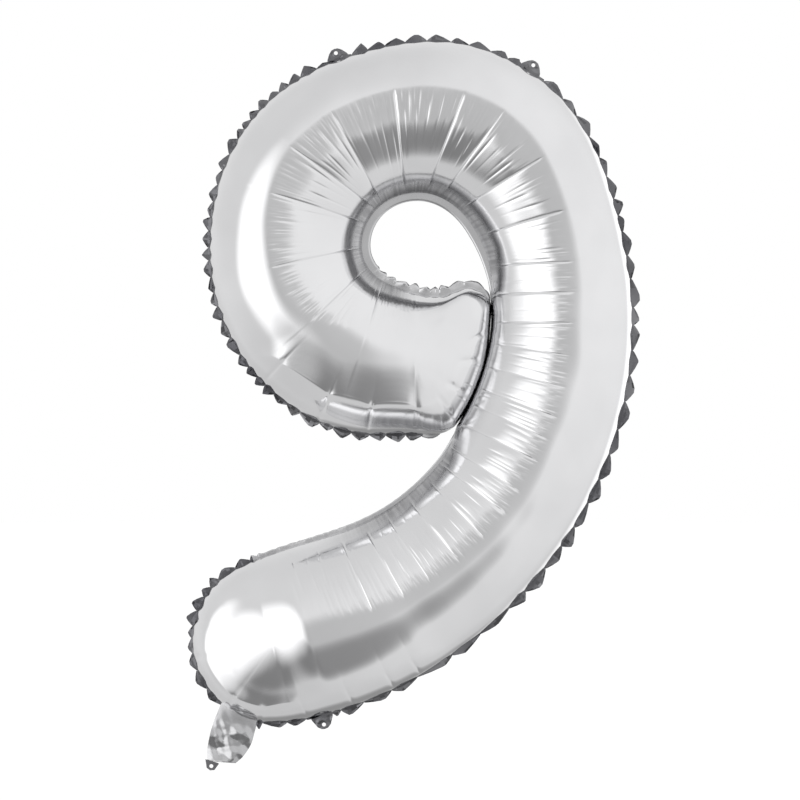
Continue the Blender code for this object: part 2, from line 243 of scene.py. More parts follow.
class Outline:
    """The closed seam: the stroke's inner edge, its free end, its outer edge and its tail cap."""

    def __init__(self):
        stroke = np.array(STROKE, float)
        self.stations = chord_knots(stroke[:, :2])
        middle = natural_spline(self.stations, stroke[:, :2])
        along = unit(middle(self.stations + 0.5) - middle(self.stations - 0.5))
        left = np.stack([-along[:, 1], along[:, 0]], axis=1) * stroke[:, 2:] / 2
        inner, outer = stroke[:, :2] + left, stroke[:, :2] - left
        turn = np.linspace(0, math.pi, CAP_POINTS + 2)[1:-1, None]
        back = -along[0] * stroke[0, 2] / 2
        cap = stroke[0, :2] - left[0] * np.cos(turn) + back * np.sin(turn)
        points = np.vstack([inner, FREE_END, outer[::-1], cap])
        self.whole = chord_knots(np.vstack([points, points[:1]]))[-1]
        knots = chord_knots(points)
        wrap = 4
        self.curve = natural_spline(
            np.concatenate([knots[-wrap:] - self.whole, knots, knots[:wrap] + self.whole]),
            np.vstack([points[-wrap:], points, points[:wrap]]),
        )
        count = len(stroke)
        self.inner_at = natural_spline(self.stations, knots[:count, None])
        outer_knots = knots[count + len(FREE_END):][:count][::-1]
        self.outer_at = natural_spline(self.stations, outer_knots[:, None])

    def point(self, distance):
        """The seam's X and Z at distances along it."""
        return self.curve(np.mod(distance, self.whole))

    def outward(self, distance):
        """Unit normals of the seam that point away from the inflated area."""
        distance = np.atleast_1d(distance)
        along = unit(self.point(distance + 0.5) - self.point(distance - 0.5))
        return np.stack([-along[:, 1], along[:, 0]], axis=1)

    def nearest(self, place):
        """The distance along the seam of its point nearest to a place."""
        distance = np.linspace(0, self.whole, 8001)
        away = np.linalg.norm(self.point(distance) - np.array(place, float), axis=1)
        return distance[np.argmin(away)]


def membrane(outline):
    """The height of a soap film blown up from the outline's plane, as a function of X and Z.

    In a long straight tube it rises to the tube's half width.
    """
    step = MEMBRANE_STEP
    loop = outline.point(np.linspace(0, outline.whole, MEMBRANE_CORNERS, endpoint=False))
    low = loop.min(axis=0) - 3 * step
    x, z = (low[i] + step * np.arange(round(np.ptp(loop[:, i]) / step) + 7) for i in (0, 1))
    inside = np.zeros((len(x), len(z)), bool)
    for (x0, z0), (x1, z1) in zip(loop, np.roll(loop, -1, axis=0)):
        between = (z > z0) != (z > z1)
        if between.any():
            crossing = x0 + (z - z0) * (x1 - x0) / (z1 - z0)
            inside ^= between & (x[:, None] < crossing)
    load = np.zeros(inside.shape)
    chequer = np.add.outer(np.arange(len(x)), np.arange(len(z))) % 2
    for turn in range(MEMBRANE_SWEEPS):
        spread = sum(np.roll(load, by, axis) for by in (-1, 1) for axis in (0, 1)) + step ** 2
        now = inside & (chequer == turn % 2)
        load = np.where(now, load + OVER_RELAXATION * (spread / 4 - load), load)

    def at(place):
        column, row = (place[..., 0] - low[0]) / step, (place[..., 1] - low[1]) / step
        c, r = column.astype(int), row.astype(int)
        right, up = column - c, row - r
        return np.sqrt(2 * (
            load[c, r] * (1 - right) * (1 - up) + load[c + 1, r] * right * (1 - up)
            + load[c, r + 1] * (1 - right) * up + load[c + 1, r + 1] * right * up
        ))

    return at


def neck_arch(off_centre):
    """How far a film stands off its rim's depth, at distances from the middle of the neck."""
    share = np.clip(off_centre / NECK_HALF_WIDTH, -1, 1)
    return NECK_BULGE * np.cos(math.pi / 2 * share)


def crease_lines(seed):
    """Every long crease as rows of station at the crest, station at the seam, and strength."""
    rng = np.random.default_rng(seed)
    lines = [(a, b, rng.uniform(0.8, 1.1)) for a, b in BOWL_CREASES]
    place, end, spacing = STEM_CREASES
    while place < end:
        lines.append((place, place + rng.uniform(-3, 6), rng.uniform(0.4, 0.9)))
        place += spacing * rng.uniform(0.7, 1.3)
    return np.array(sorted(lines))


class Spokes:
    """Fine lines from the seam to the crest, all round the outline, as arrays over spokes."""

    def __init__(self, outline, creases):
        last = outline.stations[-1]
        station = np.linspace(0, last, round(last / CREST_STEP) + 1)
        away = np.abs(station[:, None] - creases[:, 0]).min(axis=1)
        beside = [creases[:, 0] + off for side in CREASE_SIDES for off in (-side, side)]
        station = np.concatenate([station[away > CREASE_CLEAR], creases[:, 0], *beside])
        station = np.sort(np.concatenate([station, [0, last]]))
        station = station[np.concatenate([[True], np.diff(station) > LEAST_STEP])]
        count = len(station)
        at_seam = np.interp(station, [0, *creases[:, 0], last], [0, *creases[:, 1], last])
        straight = outline.inner_at(station)[:, 0]
        outer = outline.outer_at(station)[:, 0]
        across = outline.point(straight) - outline.point(outer)
        width = np.linalg.norm(across, axis=1)
        shift = averaged(read(CREST_SHIFT, station), np.hanning(63)[1:-1], "edge")
        crest = outline.point(outer) + across * (0.5 - shift / width)[:, None]
        height = BULGE * width
        inner = outline.inner_at(at_seam)[:, 0]
        end_length = outer[-1] - inner[-1]
        end = np.linspace(inner[-1], outer[-1], round(end_length / FAN_STEP) + 1)[1:-1]
        cap_length = outline.whole - outer[0]
        cap = np.linspace(outer[0], outline.whole, round(cap_length / FAN_STEP) + 1)[1:-1]
        self.crest_of = np.concatenate([
            np.arange(count), np.full(len(end), count - 1), np.arange(count)[::-1],
            np.zeros(len(cap), int),
        ])
        self.crest_count = count
        self.distance = np.concatenate([inner, end, outer[::-1], cap])
        self.station = station[self.crest_of]
        self.seam = outline.point(self.distance)
        number = np.arange(len(self.crest_of))
        self.inner = number < count
        self.outer = (number >= count + len(end)) & (number < 2 * count + len(end))
        self.blow_up(outline, crest[self.crest_of] - self.seam, height[self.crest_of])
        for stops in RIM_TUBES:
            self.swell_rim(np.array(stops).T)

    def blow_up(self, outline, to_crest, height):
        """The smooth inflated shape, from the way to the crest and the crest's height."""
        angle = np.linspace(0, math.pi / 2, ROWS + 1)
        cosine, sine = np.cos(angle), np.sin(angle)
        reach = np.linalg.norm(to_crest, axis=1)
        self.out = -to_crest / reach[:, None]
        flat, rise = np.outer(reach, cosine), np.outer(height, sine)
        steps = np.hypot(np.diff(flat, axis=1), np.diff(rise, axis=1))
        zero = np.zeros((len(reach), 1))
        self.from_seam = np.concatenate([zero, np.cumsum(steps, axis=1)], axis=1)
        self.from_crest = self.from_seam[:, -1:] - self.from_seam
        self.flat = self.seam[:, None] + to_crest[:, None] * (1 - cosine)[:, None]
        blown = 2 * BULGE * membrane(outline)(self.flat) / np.maximum(rise, 1)
        blown = np.stack([averaged(row, np.ones(13), "wrap") for row in blown.T], axis=1)
        at_end = smooth(self.station, *BOWL_BLEND) + smooth(self.station, *TAIL_BLEND)
        rise *= 1 + (blown - 1) * smooth(angle, 0.35, 0.95) * at_end[:, None]
        arch = neck_arch(self.distance - outline.nearest(NECK_ROOT))
        arch = arch[:, None] * (1 - smooth(self.from_seam, 0, NECK_ARCH_REACH))
        self.depth = RIM + arch + rise
        self.seen_from_seam = reach[:, None] * (1 - cosine)
        lean = [np.outer(1 / reach, cosine), np.outer(1 / height, sine)]
        self.lean_out, self.lean_up = np.moveaxis(unit(np.stack(lean, axis=-1)), -1, 0)

    def swell_rim(self, stops):
        """Rounds the rim outward into a row of short tubes with a shoulder behind them."""
        place, creases = self.distance, stops[0]
        width, shoulder, bow = (np.interp(place, creases, values) for values in stops[1:])
        here = smooth(place, creases[0], creases[0] + RIM_EASE)
        here = here * (1 - smooth(place, creases[-1] - RIM_EASE, creases[-1]))
        part = np.clip(np.searchsorted(creases, place) - 1, 0, len(creases) - 2)
        across = 2 * (place - creases[part]) / (creases[part + 1] - creases[part]) - 1
        across = np.clip(across, -1, 1)
        swell = np.sqrt(1 - across ** 2)
        to_crease = (1 - np.abs(across)) * (creases[part + 1] - creases[part]) / 2
        seen, whole = self.seen_from_seam, self.seen_from_seam[:, -1]
        before = seen[:, TUBE_ROW]
        edge = before + (width * (TUBE_WAIST + (1 - TUBE_WAIST) * swell) - before) * here
        inside = np.arange(seen.shape[1]) <= TUBE_ROW
        moved = np.where(
            inside, seen * (edge / before)[:, None],
            edge[:, None] + (seen - before[:, None]) * ((whole - edge) / (whole - before))[:, None],
        )
        depth, length = (
            np.stack([np.interp(*row) for row in zip(moved, seen, values)])
            for values in (self.depth, self.from_seam)
        )
        run = moved / edge[:, None]
        shoulder, bow = shoulder[:, None], bow[:, None]
        level = depth[:, TUBE_ROW, None] + shoulder
        curve = np.sqrt((1 - (1 - bow * np.clip(run, 0, 1)) ** 2) / (1 - (1 - bow) ** 2))
        tube = RIM + (level - RIM) * curve
        fade = np.exp((edge[:, None] - moved) / SHOULDER_REACH)
        body = depth + shoulder * fade * (1 - smooth(moved / whole[:, None], 0.35, 0.95))
        pinch = TUBE_CREASE[0] * np.exp(-to_crease / TUBE_CREASE[1])[:, None]
        pinch = pinch * smooth(run, 0, 0.3) * (1 - smooth(run, 0.8, 1.35))
        self.depth = depth + (np.where(inside, tube, body) - pinch - depth) * here[:, None]
        self.flat = self.seam[:, None] - self.out[:, None] * moved[..., None]
        self.seen_from_seam, self.from_seam = moved, length
        self.from_crest = length[:, -1:] - length


def crease_relief(spokes, creases, signed):
    """Sharp valleys along the long creases, and a swell between each two."""
    height = np.zeros_like(signed)
    station = spokes.station[:, None]
    ahead = signed - read(ONSET, spokes.station)[:, None]
    near_seam = smooth(spokes.from_seam, 4, 34)
    flare, flare_reach = CREASE_FLARE
    width = CREASE_WIDTH * (1 + flare * np.exp(-np.clip(ahead, 0, None) / flare_reach))
    for at_crest, _, strength in creases:
        valley = np.exp(-np.abs(station - at_crest) / width)
        height -= CREASE_DEPTH * strength * valley * smooth(ahead, -1, 3) * near_seam
    ends = creases[:, 0]
    for left, right in zip(ends, ends[1:]):
        half = (right - left) / 2
        dome = np.clip(1 - ((station - (left + right) / 2) / half) ** 2, 0, None)
        size = PUFF * min(half / FULL_PUFF, 1)
        height += size * dome * smooth(ahead, 4, 40) * smooth(spokes.from_seam, 6, 44)
    return height


def sink(height, columns, off, along, depth, kind):
    """Lowers the foil along one pucker of a kind. off is the distance to its line."""
    height[columns] -= depth * np.exp(-np.abs(off / kind.half_width) ** kind.sharpness) * along


def crest_puckers(height, spokes, creases, signed, rng):
    """Fine puckers in a jagged row where the long creases start."""
    in_ribbon = spokes.inner | spokes.outer
    place = FIRST_PUCKER
    while place < spokes.station.max():
        columns = in_ribbon & (np.abs(spokes.station - place) < 6)
        near = np.abs(creases[:, 0] - place).min()
        jag = 7 * abs(place / 17 % 1 - 0.5) + 5 * abs(place / 6.3 % 1 - 0.5)
        start = read(ONSET, place) - 3 + jag + rng.uniform(-1, 2) + min(near, 8) * 0.3
        length = rng.uniform(*CREST_PUCKERS.length) * rng.choice([0.6, 1.0, 1.5])
        depth = rng.uniform(*CREST_PUCKERS.depth) * smooth(place, 15, 120)
        slant = rng.uniform(-0.03, 0.03)
        ahead = signed[columns] - start
        off = spokes.station[columns, None] - place - slant * ahead
        along = smooth(ahead, 0, 3) * np.exp(-(ahead / length) ** 2)
        sink(height, columns, off, along, depth, CREST_PUCKERS)
        place += rng.uniform(*CREST_PUCKERS.step)


def long_puckers(height, spokes, signed, rng):
    """Longer puckers, further apart, on the stroke's inner side."""
    place = FIRST_LONG_PUCKER
    while place < spokes.station.max():
        columns = spokes.inner & (np.abs(spokes.station - place) < 10)
        start = read(ONSET, place) + rng.uniform(5, 45)
        length = rng.uniform(*LONG_PUCKERS.length)
        slant = rng.uniform(-0.05, 0.05)
        ahead = signed[columns] - start
        off = spokes.station[columns, None] - place - slant * ahead
        along = smooth(ahead, -12, 8) * np.exp(-(ahead / length) ** 2)
        sink(height, columns, off, along, rng.uniform(*LONG_PUCKERS.depth), LONG_PUCKERS)
        place += rng.uniform(*LONG_PUCKERS.step)


def seam_puckers(height, spokes, rng):
    """Short puckers that rise from the stroke's inner seam."""
    place = FIRST_PUCKER
    while place < spokes.station.max():
        columns = spokes.inner & (np.abs(spokes.station - place) < 10)
        length = rng.uniform(*SEAM_PUCKERS.length)
        depth = rng.uniform(*SEAM_PUCKERS.depth)
        off = spokes.station[columns, None] - place
        along = np.exp(-(spokes.from_seam[columns] / length) ** 2)
        sink(height, columns, off, along, depth, SEAM_PUCKERS)
        place += rng.uniform(*SEAM_PUCKERS.step)


def neck_puckers(height, spokes, root, rng):
    """Deeper puckers that fan out from the neck's root. root is its distance along the seam."""
    place = root - NECK_PUCKER_REACH
    while place < root + NECK_PUCKER_REACH:
        off = (spokes.distance - place)[:, None]
        columns = np.abs(off[:, 0]) < 12
        nearness = 1 - 0.5 * abs(place - root) / NECK_PUCKER_REACH
        length = rng.uniform(*NECK_PUCKERS.length) * nearness
        away = spokes.from_seam[columns]
        along = smooth(away, 3, 9) * np.exp(-(away / length) ** 2)
        sink(height, columns, off[columns], along, rng.uniform(*NECK_PUCKERS.depth), NECK_PUCKERS)
        place += rng.uniform(*NECK_PUCKERS.step)


def uneven(spokes, rng):
    """Slow swells of the whole panel."""
    height = np.zeros_like(spokes.from_seam)
    for size in SWELLS:
        for _ in range(3):
            turn, phase = rng.uniform(0, 2 * math.pi, 2)
            run = spokes.flat[..., 0] * math.cos(turn) + spokes.flat[..., 1] * math.sin(turn)
            height += SWELL_HEIGHT * size * np.sin(2 * math.pi * run / size + phase)
    return height


def relief(spokes, creases, root, seed):
    """How far the foil stands off the smooth shape, over spokes and rows.

    signed is the distance from the crest, counted inwards over the stroke.
    """
    rng = np.random.default_rng(seed)
    sign = np.where(spokes.outer, -1, 1)[:, None]
    signed = spokes.from_crest * sign
    in_ribbon = (spokes.inner | spokes.outer)[:, None]
    height = crease_relief(spokes, creases, signed)
    puckers = np.zeros_like(signed)
    crest_puckers(puckers, spokes, creases, signed, rng)
    long_puckers(puckers, spokes, signed, rng)
    seam_puckers(puckers, spokes, rng)
    neck_puckers(puckers, spokes, root, rng)
    full, fade = OVERHANG_FADE
    overhang = read(OVERHANG, spokes.distance)[:, None]
    overhang = overhang * np.exp(-(np.clip(spokes.from_seam - full, 0, None) / fade) ** 2)
    height = np.where(in_ribbon, height, 0) + puckers + overhang + uneven(spokes, rng)
    return height * smooth(spokes.from_seam, 0, 4)


def painted_shade_and_dullness_share(spokes, seed):
    """How dull the puckered foil near the inner seam is, and how much painted shade it takes: 1 at
    the inner seam, in streaks, to 0.
    """
    rng = np.random.default_rng(seed)
    streak = np.interp(spokes.station, np.arange(0, 1200, 2.3), rng.uniform(0.75, 1.1, 522))
    ends = smooth(spokes.station, 60, 190) * (1 - smooth(spokes.station, 1120, 1161))
    slit = smooth(spokes.distance, 230, 260) * (1 - smooth(spokes.distance, 400, 440))
    strength = spokes.inner * ends * streak * (1 - 0.7 * slit)
    return np.clip(smooth(spokes.seen_from_seam, SHADE_AND_DULLNESS_REACH, 2) * strength[:, None], 0, 1)


def grid_mesh(name, points, faces, material):
    mesh = bpy.data.meshes.new(name)
    mesh.from_pydata((np.asarray(points) * MM).tolist(), [], faces)
    mesh.update()
    mesh.shade_smooth()
    mesh.materials.append(material)
    obj = bpy.data.objects.new(name, mesh)
    bpy.context.scene.collection.objects.link(obj)
    return obj


def strip_object(name, grid, thickness, material, closed=False, sharp=35):
    """A film of a given thickness over a grid of points, with creases over sharp degrees."""
    rows, columns = grid.shape[:2]
    index = np.arange(rows * columns).reshape(rows, columns)
    if closed:
        index = np.vstack([index, index[:1]])
    quads = np.stack([index[:-1, :-1], index[:-1, 1:], index[1:, 1:], index[1:, :-1]], axis=-1)
    obj = grid_mesh(name, grid.reshape(-1, 3), quads.reshape(-1, 4).tolist(), material)
    obj.data.set_sharp_from_angle(angle=math.radians(sharp))
    shell = obj.modifiers.new("thickness", "SOLIDIFY")
    shell.thickness = thickness * MM
    shell.offset = 0.0
    return obj


def add_panel(name, node, spokes, creases, root, side, seed, material):
    """One foil panel with its creases and puckers. side is -1 for the front and 1 for the back."""
    lift = relief(spokes, creases, root, seed)
    flat = spokes.flat + spokes.out[:, None] * (lift * spokes.lean_out)[..., None]
    depth = spokes.depth + lift * spokes.lean_up
    grid = np.stack([flat[..., 0], side * depth, flat[..., 1]], axis=-1)
    count = len(grid)
    index = np.arange(count)[:, None] * ROWS + np.arange(ROWS)
    index = np.concatenate([index, count * ROWS + spokes.crest_of[:, None]], axis=1)
    crest = np.zeros((spokes.crest_count, 3))
    np.add.at(crest, spokes.crest_of, grid[:, -1])
    crest /= np.bincount(spokes.crest_of)[:, None]
    after = np.roll(index, -1, axis=0)
    quads = np.stack([index[:, :-1], index[:, 1:], after[:, 1:], after[:, :-1]], axis=-1)
    if side > 0:
        quads = quads[..., ::-1]
    faces = [list(dict.fromkeys(quad)) for quad in quads.reshape(-1, 4).tolist()]
    panel = grid_mesh(name, np.vstack([grid[:, :-1].reshape(-1, 3), crest]), faces, material)
    # The mesh attribute holds where the panel takes painted shade and added roughness.
    share = painted_shade_and_dullness_share(spokes, seed)
    share = np.concatenate([share[:, :-1].ravel(), np.zeros(spokes.crest_count)])
    panel.data.attributes.new("dullness_and_painted_shade", "FLOAT", "POINT").data.foreach_set("value", share)
    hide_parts(node)
    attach(panel, "envelope")


def lobes(outline, start, end, rng):
    """The lobes between two seam distances, as arrays over points: distance, sway and size.

    Each lobe starts pinched, with a sway to one side and a size that are both 0.
    """
    breaks = [start]
    while breaks[-1] < end:
        length = read(LOBE_LENGTH, breaks[-1] % outline.whole)
        breaks.append(breaks[-1] + length * rng.uniform(*LOBE_VARIES))
    breaks[-1] = end
    distance, sway, size = [], [], []
    for first, last in zip(breaks, breaks[1:]):
        peak, blunt = rng.uniform(*LOBE_PEAK), rng.uniform(*LOBE_BLUNT)
        share = np.array([0, 0.06, 0.5 * peak, peak - blunt, peak + blunt, (1 + peak) / 2, 0.94])
        rise = np.interp(share, [0, peak - blunt, peak + blunt, 1], [0, 1, 1, 0])
        distance += list(first + (last - first) * share)
        size += list(rng.uniform(*LOBE_SIZE) * rise ** 0.8)
        sway += list(rng.choice([-1, 1]) * rng.uniform(0.3, 1) * rise)
    return np.array([*distance, end]), np.array([*sway, 0]), np.array([*size, 0])


def add_flange(outline, taut, dullness_and_painted_shade):
    """The fused edge, puckered into lobes where the seam runs round the outside; the fullest lobes
    are painted dark as shade.
    """
    rng = np.random.default_rng(5)
    root = outline.nearest(NECK_ROOT)
    beside_neck = NECK_HALF_WIDTH - FLANGE_NECK_LAP
    end = root - beside_neck + outline.whole
    distance, sway, lobe = lobes(outline, root + beside_neck, end, rng)
    width, gather = (read(FLANGE, distance % outline.whole, column) for column in (1, 2))
    for _, place, _ in TABS.values():
        off = distance - outline.nearest(place) + outline.whole / 2
        away = np.abs(off % outline.whole - outline.whole / 2)
        width *= NARROW + (1 - NARROW) * smooth(away, *TAB_CLEAR)
    width *= 1 - gather * PINCH * (1 - lobe)
    seam, normal = outline.point(distance), outline.outward(distance)
    rows = []
    pinched = np.isclose(lobe, 0)
    for inwards, share in ((FLANGE_LAP, 0), (0, 0), (0, 0.35), (0, 0.7), (0, 1)):
        flat = seam + normal * (width * share - inwards)[:, None]
        crinkle = rng.uniform(-LOBE_CRINKLE, LOBE_CRINKLE, len(sway))
        fold = sway * LOBE_LIFT + np.where(pinched, 0, crinkle)
        rows.append(np.stack([flat[:, 0], gather * fold * share, flat[:, 1]], axis=-1))
    flange = strip_object("sealed_edge", np.stack(rows, axis=1), FOIL, taut, sharp=12)
    # The fully puckered faces take the foil with painted shade, and are flat shaded.
    flange.data.materials.append(dullness_and_painted_shade)
    fully = np.repeat(gather[:-1] > FULLY_GATHERED, len(rows) - 1)
    flange.data.polygons.foreach_set("material_index", fully.astype(np.int32))
    flange.data.polygons.foreach_set("use_smooth", ~fully)
    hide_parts("edge_seal")
    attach(flange, "envelope")


class Neck:
    """The neck's own axes: along runs out of the balloon, and across runs to a reader's right."""

    def __init__(self, outline):
        self.distance = outline.nearest(NECK_ROOT)
        self.root = outline.point(self.distance)[0]
        lean = math.radians(NECK_LEAN)
        self.along = np.array([-math.sin(lean), -math.cos(lean)])
        self.across = np.array([math.cos(lean), -math.sin(lean)])

    def place(self, along, across):
        """X and Z of points, from the fold line."""
        along, across = np.asarray(along)[..., None], np.asarray(across)[..., None]
        return self.root + self.along * (NECK_FOLD + along) + self.across * across

    def spot(self, along):
        """A point of the neck's axis in the frame, in metres."""
        x, z = self.place(along, 0)
        return Vector((x, 0, z)) * MM


def crumple(place, rng, kind):
    """Flat facets with sharp folds between them, over points of a plane, up or down from 0."""
    height, sizes = kind
    total = 0
    start = rng.uniform(0, math.pi)
    for number, size in enumerate(sizes):
        turn, phase = start + 2.4 * number, rng.uniform(0, 2)
        run = (place[..., 0] * math.cos(turn) + place[..., 1] * math.sin(turn)) / size + phase
        total = total + size * (4 * np.abs(run % 1 - 0.5) - 1)
    return height * total / sum(sizes)


def add_neck(outline, neck, material):
    """The crumpled sleeve of the filling neck, from just inside the seam to its slanted mouth."""
    rng = np.random.default_rng(21)
    columns = np.linspace(-1, 1, NECK_COLUMNS)
    left = natural_spline(chord_knots(NECK_LEFT), NECK_LEFT)
    right = natural_spline(chord_knots(NECK_RIGHT), NECK_RIGHT)
    rows = np.linspace(0, 1, NECK_ROWS)
    left = left(rows * chord_knots(NECK_LEFT)[-1])
    right = right(rows * chord_knots(NECK_RIGHT)[-1])
    share = (columns + 1) / 2
    own = left[:, None] * (1 - share)[None, :, None] + right[:, None] * share[None, :, None]
    flat = neck.place(own[..., 0], own[..., 1])
    seam = neck.distance - columns * NECK_HALF_WIDTH
    rim = outline.point(seam) - outline.outward(seam) * NECK_LAP
    hold = 1 - smooth(rows, 0, NECK_HOLD)[:, None, None]
    flat = flat + (rim - flat[0]) * hold
    free = smooth(own[..., 0], -11, 6)
    shared = free * crumple(flat, rng, NECK_CRUMPLE)
    flat = flat + neck.across * (free * crumple(flat, rng, NECK_SWAY))[..., None]
    arch = neck_arch(columns * NECK_HALF_WIDTH)
    films = []
    for side in (-1, 1):
        folds = (FILM_CRUMPLE[0] + crumple(flat, rng, FILM_CRUMPLE)) / 2
        stand = RIM + arch * (1 + free * folds)
        films.append(np.stack([flat[..., 0], shared + side * stand, flat[..., 1]], axis=-1))
    front, back = films
    around = np.concatenate([front, back[:, ::-1]], axis=1)
    sleeve = strip_object("neck_sleeve", around.transpose(1, 0, 2), FOIL, material, True, 18)
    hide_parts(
        "neck_root_front", "neck_root_back", "neck_front_wall", "neck_back_wall",
        "neck_seal_left", "neck_seal_right",
    )
    neck.spot(-NECK_BEND)
    neck.spot(NECK_BEND)
    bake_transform(sleeve)


def tab_film(name, origin, out, eyelet, corners, rng, material):
    """A film with an eyelet hole, over an outline given as pairs of across and out."""
    across = np.array([out[1], -out[0]])
    corners = np.array(corners, float)
    turn = np.linspace(0, 2 * math.pi, TAB_RAYS + 1)[:-1]
    ray = np.stack([np.cos(turn), np.sin(turn)], axis=1)
    reach = np.full(len(turn), np.inf)
    centre = np.array([0, eyelet])
    for a, b in zip(corners, np.roll(corners, -1, axis=0)):
        edge = b - a
        cross = ray[:, 0] * edge[1] - ray[:, 1] * edge[0] + NOT_ZERO
        ahead = ((a - centre)[0] * edge[1] - (a - centre)[1] * edge[0]) / cross
        beside = ((a - centre)[0] * ray[:, 1] - (a - centre)[1] * ray[:, 0]) / cross
        hit = (ahead > 0) & (beside >= -TOUCH) & (beside <= 1 + TOUCH)
        reach = np.where(hit & (ahead < reach), ahead, reach)
    rings = np.linspace(0, 1, TAB_RINGS)
    length = EYELET_RADIUS + np.outer(reach - EYELET_RADIUS, rings)
    own = centre + ray[:, None] * length[..., None]
    flat = origin + across * own[..., :1] + out * own[..., 1:]
    away = smooth(own[..., 1], 1, 9) * smooth(length, EYELET_RADIUS, EYELET_RADIUS + 3)
    lift = away * crumple(flat, rng, TAB_CRUMPLE)
    grid = np.stack([flat[..., 0], lift, flat[..., 1]], axis=-1)
    return strip_object(name, grid, FOIL, material, True, 16)


def add_eyelet_ring(name, place, body, material):
    """The pressed lip round an eyelet, as a thin ring."""
    ring = bpy.data.curves.new(name, "CURVE")
    ring.dimensions = "3D"
    ring.bevel_depth = LIP_RADIUS * MM
    ring.bevel_resolution = 3
    path = ring.splines.new("NURBS")
    path.points.add(11)
    radius = (EYELET_RADIUS + LIP_STAND_OFF) * MM
    for i, point in enumerate(path.points):
        turn = 2 * math.pi * i / len(path.points)
        point.co = (radius * math.cos(turn), 0, radius * math.sin(turn), 1)
    path.use_cyclic_u = True
    path.order_u = 4
    ring.materials.append(material)
    obj = bpy.data.objects.new(name, ring)
    obj.location = (place[0] * MM, 0, place[1] * MM)
    bpy.context.scene.collection.objects.link(obj)
    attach(obj, body)


def tab_outline(tip):
    """A hanging tab's corners, as pairs of across and out."""
    side = [(12, -1), (11, 4), (7, tip - 3.5), (3.4, tip - 0.6)]
    return [(-across, out) for across, out in side] + [(0, tip)] + side[::-1]


def add_tabs(outline, neck, material):
    """The three hanging tabs, and the tab at the neck's mouth."""
    rng = np.random.default_rng(9)
    for name, (body, place, eyelet) in TABS.items():
        distance = outline.nearest(place)
        out = outline.outward(distance)[0]
        origin = outline.point(distance)[0]
        hole = TAB_ROOT + eyelet
        corners = tab_outline(hole + TAB_TIP)
        film = tab_film(f"{name}_film", origin, out, hole, corners, rng, material)
        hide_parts(name)
        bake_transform(film)
        add_eyelet_ring(f"{name}_eyelet", origin + out * hole, body, material)
    eyelet = neck.place(*NECK_EYELET)
    film = tab_film("neck_tab_film", eyelet, neck.along, 0.0, NECK_TAB, rng, material)
    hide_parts("neck_eyelet_tab")
    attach(film, "neck")
    add_eyelet_ring("neck_tab_eyelet", eyelet, "neck", material)


def node_tree(name):
    material = bpy.data.materials.new(name)
    material.use_nodes = True
    tree = material.node_tree
    return material, tree, tree.nodes["Principled BSDF"]


# Films: dark and light tone, range of roughness, and the grain's scale and its depth in metres.
FILMS = {
    "silver_foil": ((0.78, 0.78, 0.79), (0.84, 0.84, 0.85), (0.08, 0.13), 900, 2e-5),
    "sealed_foil": ((0.58, 0.58, 0.59), (0.68, 0.68, 0.69), (0.16, 0.24), 1500, 2e-5),
    "crumpled_foil": ((0.48, 0.48, 0.49), (0.62, 0.62, 0.63), (0.12, 0.22), 1100, 3e-5),
    # The foil of the fullest lobes and the tabs: its dark tone is painted shade, for the dark
    # surroundings that such foil reflects.
    "painted_shade_gathered_foil": ((0.10, 0.10, 0.11), (0.27, 0.27, 0.28), (0.14, 0.24), 1500, 3e-5),
    "valve_film": ((0.70, 0.70, 0.68), (0.80, 0.80, 0.78), (0.30, 0.40), 700, 2e-5),
}
# The panels' painted shade tone, and their added roughness, where their mesh attribute of painted
# shade and dullness is 1.
PAINTED_SHADE_TONE = (0.32, 0.32, 0.33)
GATHERED_ROUGHNESS = 0.24


